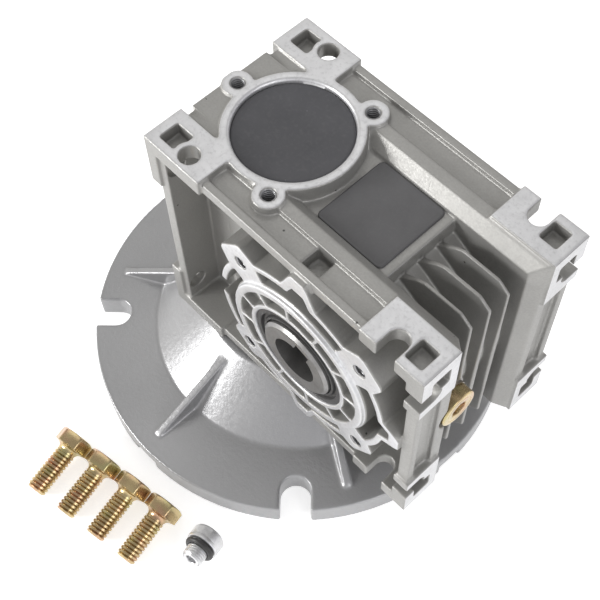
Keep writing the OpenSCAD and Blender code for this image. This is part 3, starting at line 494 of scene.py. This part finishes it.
def skin(rows, closed=True):
    """Faces over rows of points that run round an axis."""
    rows = np.asarray(rows)
    count, around = rows.shape[:2]
    points = rows.reshape(-1, 3)
    i, j = np.meshgrid(np.arange(count - 1), np.arange(around), indexing="ij")
    k = (j + 1) % around
    faces = np.stack([i * around + j, i * around + k, (i + 1) * around + k, (i + 1) * around + j], -1)
    faces = faces.reshape(-1, 4).tolist()
    if closed:
        faces.append(list(range(around))[::-1])
        faces.append(list(range((count - 1) * around, count * around)))
    return points, faces


def ring(radius, z, around):
    """Points round Z, at one radius or one for each angle."""
    angle = np.arange(around) / around * TURN
    radius = np.broadcast_to(radius, (around,))
    z = np.broadcast_to(z, (around,))
    return np.stack([radius * np.cos(angle), radius * np.sin(angle), z], 1)


def thread(radius, pitch, depth, low, high, chamfer=0.0, around=64, steps=12, inside=False):
    """Points and faces of a screw thread about Z, as one strip that follows its helix."""
    turns = int(math.ceil((high - low) / pitch)) + 1
    count = (turns + 1) * steps
    k, j = np.meshgrid(np.arange(count), np.arange(around), indexing="ij")
    phase = (k % steps) / steps
    ridge = np.clip(2.0 - 4.0 * np.abs(phase - 0.5), 0, 1)
    ridge = ridge * ridge * (3 - 2 * ridge)
    z = low + pitch * (k / steps + j / around - 1)
    r = radius - depth * (ridge if inside else 1 - ridge)
    if chamfer:
        r = np.minimum(r, radius - chamfer + np.clip(z - low, 0, None) * 0.9)
    ends = (z <= low) | (z >= high)
    r = np.where(ends, radius - (0.02 if inside else depth), r)
    z = np.clip(z, low, high)
    angle = j / around * TURN
    points = np.stack([r * np.cos(angle), r * np.sin(angle), z], -1).reshape(-1, 3)
    faces = []
    for row in range(count - steps - 1):
        for column in range(around):
            here = row * around + column
            after = here + 1 if column < around - 1 else (row + steps) * around
            faces.append([here, after, after + around, here + around])
    return points, faces


def joined(*shells):
    """Several shells, each as points and faces, in one."""
    points, faces, start = [], [], 0
    for some, more in shells:
        points.append(np.asarray(some))
        faces += [[start + index for index in face] for face in more]
        start += len(some)
    return np.concatenate(points), faces


def place(points, matrix):
    """The points moved by a matrix."""
    return np.asarray(points) @ np.array(matrix.to_3x3()).T + np.array(matrix.translation)


def spin(degrees, axis):
    return Matrix.Rotation(math.radians(degrees), 4, axis)


# ---- Loose fasteners ----
def hexagon(flats, around, corner=0.10):
    """Radius of a hexagon with a corner at angle 0, its corners slightly rounded."""
    angle = np.arange(around) / around * TURN
    r = flats / 2 / np.cos(np.mod(angle, TURN / 6) - TURN / 12)
    return np.minimum(r, flats / math.sqrt(3) - corner)


def rounded(radius, z, size, start, steps, around):
    """Rows over a rounded upper edge, from its side at z up to z + size."""
    inner = np.max(radius) - size
    return [ring(np.minimum(radius, inner + size * math.cos(a)), z + size * math.sin(a), around)
            for a in np.linspace(start, 1, steps) * math.pi / 2]


def bolt_shape(around=96):
    """Hexagon bolt with a washer face, its neck and its thread, head up."""
    hexa = hexagon(BOLT_FLATS, around)
    flat_r = BOLT_FLATS / 2 - 0.25
    neck = BOLT_R - 0.3
    top = BOLT_HEAD - np.clip(hexa - flat_r, 0, None) * math.tan(math.radians(30))
    rows = [ring(neck, -2.9, around), ring(neck, -2.4, around)]
    for t in np.linspace(0.12, 1, 10):
        rows.append(ring(neck + (BOLT_FLATS / 2 - 0.35 - neck) * (1 - math.sqrt(1 - t * t * 0.98)),
                         -2.4 + 2.2 * t, around))
    edge = np.minimum(hexa - 0.3, flat_r)
    for radius, z in ((BOLT_FLATS / 2 - 0.3, -0.12), (BOLT_FLATS / 2 - 0.3, 0.0), (hexa - 0.14, 0.0),
                      (hexa - 0.04, 0.05), (hexa, 0.16), (hexa, top - 0.14), (hexa - 0.05, top - 0.03),
                      (hexa - 0.16, top + 0.05), (edge, BOLT_HEAD), (4.2, BOLT_HEAD),
                      (4.0, BOLT_HEAD - 0.25), (0.6, BOLT_HEAD - 0.25)):
        rows.append(ring(radius, z, around))
    core = BOLT_R - BOLT_RIDGE + 0.02
    tip = [ring(radius, z, around) for radius, z in (
        (0.5, -BOLT_LENGTH), (core - 0.3, -BOLT_LENGTH), (core, -BOLT_LENGTH + 0.2),
        (core, -BOLT_NECK_END), (0.5, -BOLT_NECK_END))]
    return joined(skin(rows), skin(tip), thread(BOLT_R, BOLT_PITCH, BOLT_RIDGE, -BOLT_LENGTH + 0.1,
                                                -BOLT_NECK_END, 0.6, around))


def make_bolts(material):
    """The four bolts lie in a row, each on its head's corner and the end of its thread."""
    rest = BOLT_FLATS / math.sqrt(3) * math.cos(math.radians(30 - BOLT_TURN)) + LIE_GAP
    lie = math.degrees(math.asin((rest - BOLT_R - LIE_GAP) / BOLT_LENGTH))
    points, faces = bolt_shape()
    for k in range(4):
        matrix = (Matrix.Translation((*BOLTS_AT, rest)) @ spin(BOLTS_TURN, "Z")
                  @ Matrix.Translation((k * BOLT_STEP, 0, 0)) @ spin(-90 + lie, "X") @ spin(BOLT_TURN, "Z"))
        new_piece(f"motor_bolt_{k + 1}", place(points, matrix), faces, "motor_bolts", material, 38)


def vent_place():
    """Where the vent plug lies: on its head's rim, its thread pointing up a little."""
    lift = math.radians(VENT_LIFT)
    rest = VENT_R * math.cos(lift) + VENT_HEAD * math.sin(lift) + LIE_GAP
    return Matrix.Translation((*VENT_AT, rest)) @ spin(VENT_TURN, "Z") @ spin(-90 - VENT_LIFT, "X")


def make_vent(metal, rubber):
    """The vent plug, with the bore in its thread, and its sealing ring."""
    around = 96
    hexa = np.minimum(hexagon(2 * VENT_R - 0.5, around), VENT_R)
    bore, core = VENT_BORE_R, VENT_THREAD_R - 0.38
    rows = [ring(radius, z, around) for radius, z in (
        (0.5, -3.0), (bore, -3.2), (bore, -VENT_END + 0.25), (bore + 0.2, -VENT_END),
        (core - 0.5, -VENT_END), (core, -VENT_END + 0.5), (core, 0), (VENT_R - 0.35, 0),
        (VENT_R - 0.08, 0.1), (VENT_R, 0.3), (VENT_R, 1.5), (VENT_R - 0.1, 1.65), (hexa, 1.95),
        (hexa, VENT_HEAD - 0.5))]
    rows += rounded(hexa, VENT_HEAD - 0.5, 1.7, 0.05, 11, around)
    rows += [ring(radius, z, around) for radius, z in ((3.2, 6.2), (3.05, 6.05), (0.5, 6.05))]
    points, faces = joined(skin(rows), thread(VENT_THREAD_R, 1.0, 0.4, -VENT_END + 0.1, -2 * VENT_RING,
                                              0.6, around))
    new_piece("vent_plug_turned", place(points, vent_place()), faces, "vent_plug", metal, 35)
    major, minor, count = VENT_THREAD_R - 0.35 + VENT_RING, VENT_RING - 0.02, 20
    rows = [ring(major + minor * math.cos(a), -VENT_RING + minor * math.sin(a), around)
            for a in np.arange(count) / count * TURN]
    points, faces = skin(rows, False)
    last = (count - 1) * around
    faces += [[last + j, last + (j + 1) % around, (j + 1) % around, j] for j in range(around)]
    new_piece("vent_plug_ring", place(points, vent_place()), faces, "vent_plug_o_ring", rubber)


# ---- Turned and moulded pieces on the housing ----
def make_cap(material):
    """Rubber end cap: flat, with a rounded lip and a shallow dished middle, hollow below."""
    around, r, low, high = 128, 20.0, 122.7, 129.7
    rows = [ring(0.5, high - 2.5, around), ring(r - 3, high - 2.5, around), ring(r - 3, low, around),
            ring(r - 0.3, low, around), ring(r, low + 0.3, around), ring(r, high - 0.8, around)]
    rows += rounded(r, high - 0.8, 0.8, 0.15, 6, around)
    rows += [ring(r - 1.4, high, around), ring(r - 1.7, high - 0.05, around), ring(0.5, high - 0.1, around)]
    points, faces = skin(rows)
    new_piece("end_cap_moulded", points, faces, "worm_end_cap", material, 40)


def rounded_outline(width, length, radius, steps=8):
    """A rectangle with rounded corners, about its middle."""
    corners = []
    for k, (sx, sy) in enumerate(((1, 1), (-1, 1), (-1, -1), (1, -1))):
        angle = np.linspace(0, math.pi / 2, steps) + k * math.pi / 2
        corners.append(np.stack([sx * (width / 2 - radius) + radius * np.cos(angle),
                                 sy * (length / 2 - radius) + radius * np.sin(angle)], 1))
    return np.concatenate(corners)


def make_plate(material):
    """Bare nameplate with rounded corners and a fine rolled edge."""
    low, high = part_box("nameplate")
    middle = (np.array(low) + np.array(high)) / 2 / MM
    width, length, thick = (np.array(high) - np.array(low)) / MM
    rows = []
    for inset, z in ((0.3, 0), (0.0, 0.12), (0.0, thick - 0.28), (0.07, thick - 0.1), (0.25, thick),
                     (0.9, thick), (1.05, thick - 0.05), (4.0, thick - 0.05)):
        outline = rounded_outline(width - 2 * inset, length - 2 * inset, max(2.0 - inset, 0.4))
        rows.append(np.column_stack([outline + middle[:2], np.full(len(outline), low.z / MM + z)]))
    points, faces = skin(rows)
    new_piece("nameplate_bare", points, faces, "nameplate", material, 45)


def make_oil_plug(material):
    """Flat-headed plug with a hexagon socket and a turned face."""
    around, r, side = 96, 7.3, 5.15
    socket = hexagon(5.8, around, 0.05)
    rows = [ring(0.5, -3.6, around), ring(4.2, -3.6, around), ring(4.8, -3.0, around), ring(4.8, 1.2, around),
            ring(r - 0.3, 1.2, around), ring(r, 1.5, around), ring(r, side, around)]
    rows += rounded(r, side, 0.65, 0.2, 5, around)
    top = side + 0.65
    rows += [ring(radius, z, around) for radius, z in (
        (5.6, top), (5.45, top - 0.12), (5.2, top - 0.12), (5.05, top), (socket + 0.45, top),
        (socket + 0.12, top - 0.12), (socket, top - 0.4), (socket, 2.4), (0.9, 1.9))]
    points, faces = skin(rows)
    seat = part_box("oil_plug")[1].x / MM - top
    turn = Matrix.Translation((seat, -13.2, WHEEL[1])) @ spin(90, "Y")
    new_piece("oil_plug_turned", place(points, turn), faces, "oil_plug", material, 35)


def make_taps(material):
    """The threads that show in the tapped holes of the star and of the ears on top."""
    body = NODES["gearbox_housing"]["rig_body"]
    points, faces = thread(TAP_R, TAP_PITCH, TAP_RIDGE, -TAP_DEPTH, -0.4, around=48, inside=True)
    for k in range(4):
        angle = math.radians(45 + 90 * k)
        x = WHEEL[0] + STAR_TAP_R * math.cos(angle)
        z = WHEEL[1] + STAR_TAP_R * math.sin(angle)
        turn = Matrix.Translation((x, -STAR_Y, z)) @ spin(90, "X")
        new_piece(f"star_thread_{k + 1}", place(points, turn), faces, None, material, 40, body)
    for k in range(3):
        angle = math.radians(EAR_TURN + 120 * k)
        turn = Matrix.Translation((EAR_TAP_R * math.cos(angle), EAR_TAP_R * math.sin(angle), TOP_Z))
        new_piece(f"ear_thread_{k + 1}", place(points, turn), faces, None, material, 40, body)


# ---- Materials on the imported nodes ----
def dress(node, material):
    """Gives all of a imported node's slots one material."""
    mesh = NODES[node].data
    for index in range(len(mesh.materials)):
        mesh.materials[index] = material
    if not len(mesh.materials):
        mesh.materials.append(material)


def bearing_parts(*parts):
    return [f"{bearing}_{part}" for bearing in ("worm_lower", "worm_upper", "output_near", "output_far")
            for part in parts]


def dress_all(cast_housing, cast_cover, paint, zinc, rubber, aluminium):
    """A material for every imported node, also for those that stay hidden inside."""
    steel = turned_metal("bearing_steel", (0.62, 0.62, 0.63), 0.22)
    ground = turned_metal("shaft_steel", (0.50, 0.50, 0.51), 0.26)
    iron = turned_metal("shaft_iron", (0.34, 0.335, 0.33), 0.36, 0.85, 0.22, (1, WHEEL), (0.22, 0.215, 0.21))
    bronze = turned_metal("wheel_bronze", (0.62, 0.40, 0.16), 0.30)
    brass = turned_metal("cage_brass", (0.66, 0.50, 0.22), 0.3)
    black = turned_metal("black_steel", (0.045, 0.045, 0.05), 0.38, 0.7)
    copper = turned_metal("washer_copper", (0.55, 0.50, 0.44), 0.35)
    cap = plastic("cap_rubber", (0.060, 0.060, 0.066), 0.55, 0.10, 700, 0.10, 0.5)
    plate = plastic("plate_black", (0.080, 0.079, 0.082), 0.34, 0.05, 1200, 0.06)
    paper = plastic("gasket_paper", (0.32, 0.28, 0.20), 0.8, 0.3)
    groups = {steel: bearing_parts("outer_race", "inner_race", "balls"), brass: bearing_parts("cage"),
              ground: ["worm_shaft"], iron: ["output_shaft"], bronze: ["worm_wheel"],
              black: ["side_cover_screws", "input_flange_screws", "worm_circlip"],
              paper: ["input_flange_gasket"], copper: ["oil_plug_washer"], cap: ["worm_end_cap"],
              plate: ["nameplate"], zinc: ["oil_plug", "motor_bolts"], aluminium: ["vent_plug"],
              rubber: ["side_cover_o_ring", "input_oil_seal", "output_near_oil_seal",
                       "output_far_oil_seal", "vent_plug_o_ring"],
              cast_housing: ["gearbox_housing"], cast_cover: ["side_cover"], paint: ["input_flange"]}
    for material, nodes in groups.items():
        for node in nodes:
            dress(node, material)
    make_cap(cap)
    make_plate(plate)
    make_oil_plug(zinc)


# ---- Studio ----
def white_where_seen(g, shader, strength):
    """The shader lights the object as it is, and a camera or gloss ray sees it lifted towards white."""
    path = g.add("LightPath", 0).node
    seen = g.math("MAXIMUM", path.outputs["Is Camera Ray"],
                  g.math("MAXIMUM", path.outputs["Is Glossy Ray"], path.outputs["Is Transmission Ray"]))
    glow = g.add("Emission", Color=(1, 1, 1, 1), Strength=strength)
    both = g.add("AddShader", _0=shader, _1=glow)
    return g.add("MixShader", _0=seen, _1=shader, _2=both)


def make_studio():
    scene = bpy.context.scene
    scene.view_settings.view_transform = "Standard"
    scene.world = scene.world or bpy.data.worlds.new("World")
    scene.world.use_nodes = True
    g = Graph("World", scene.world.node_tree)
    way = g.add("SeparateXYZ", Vector=g.place("Generated")).node
    sky = g.ramp(way.outputs[2], 0.05, 0.75, 1.05, 0.46)  # brighter low down, duller overhead
    tint = g.mix(g.ramp(way.outputs[0], -0.5, 0.8), (1.0, 0.985, 0.955, 1), (0.965, 0.965, 1.0, 1))
    light = g.add("Background", Color=tint, Strength=sky)
    g.add("OutputWorld", Surface=light)

    g = Graph("studio_floor")
    tone = g.ramp(g.noise(9, 2), 0.3, 0.7, 0.80, 0.82)
    colour = g.add("CombineColor", Red=tone, Green=tone, Blue=tone)
    plain = g.add("BsdfDiffuse", Color=colour)
    g.add("OutputMaterial", Surface=white_where_seen(g, plain, 0.62))
    half = 3.0
    corners = [(-half, -half, 0), (half, -half, 0), (half, half, 0), (-half, half, 0)]
    mesh = bpy.data.meshes.new("floor")
    mesh.from_pydata(corners, [], [(0, 1, 2, 3)])
    mesh.materials.append(g.material)
    floor = bpy.data.objects.new("floor", mesh)
    bpy.context.scene.collection.objects.link(floor)

    middle = Vector((0.03, -0.02, 0.06))
    lamps = [("key", (-0.58, -0.98, 0.48), 0.45, 11.0), ("top", (-0.32, 0.34, 1.0), 0.6, 0.9),
             ("side", (0.85, -0.10, 0.55), 0.5, 1.5)]
    for name, spot, width, power in lamps:
        data = bpy.data.lights.new(name, "AREA")
        data.shape = "DISK"
        data.size = width
        data.energy = power
        lamp = bpy.data.objects.new(name, data)
        bpy.context.scene.collection.objects.link(lamp)
        lamp.location = spot
        aim = middle - Vector(spot)
        lamp.rotation_euler = aim.to_track_quat("-Z", "Y").to_euler()


make_camera()
make_studio()
cast_housing = cast_metal("cast_aluminium", HOUSING_PLANES, HOUSING_BORES)
cast_cover = cast_metal("cast_cover", COVER_PLANES, COVER_BORES)
paint = flange_paint()
zinc = zinc_yellow()
rubber = plastic("seal_rubber", (0.028, 0.027, 0.027), 0.42, 0.08)
aluminium = turned_metal("vent_aluminium", (0.86, 0.86, 0.87), 0.34, 0.9, 0.12)
dress_all(cast_housing, cast_cover, paint, zinc, rubber, aluminium)
make_bolts(zinc)
make_vent(aluminium, rubber)
make_taps(turned_metal("tapped_aluminium", (0.42, 0.42, 0.43), 0.4))
casting("gearbox_housing", "housing_casting", 0.36, 3, 30, cast_housing, 200000, HOUSING_PLANES,
        shape_housing)
casting("side_cover", "cover_casting", 0.42, 2, 12, cast_cover, 90000, COVER_PLANES)
casting("input_flange", "flange_casting", 0.45, 3, 5, paint, 170000)
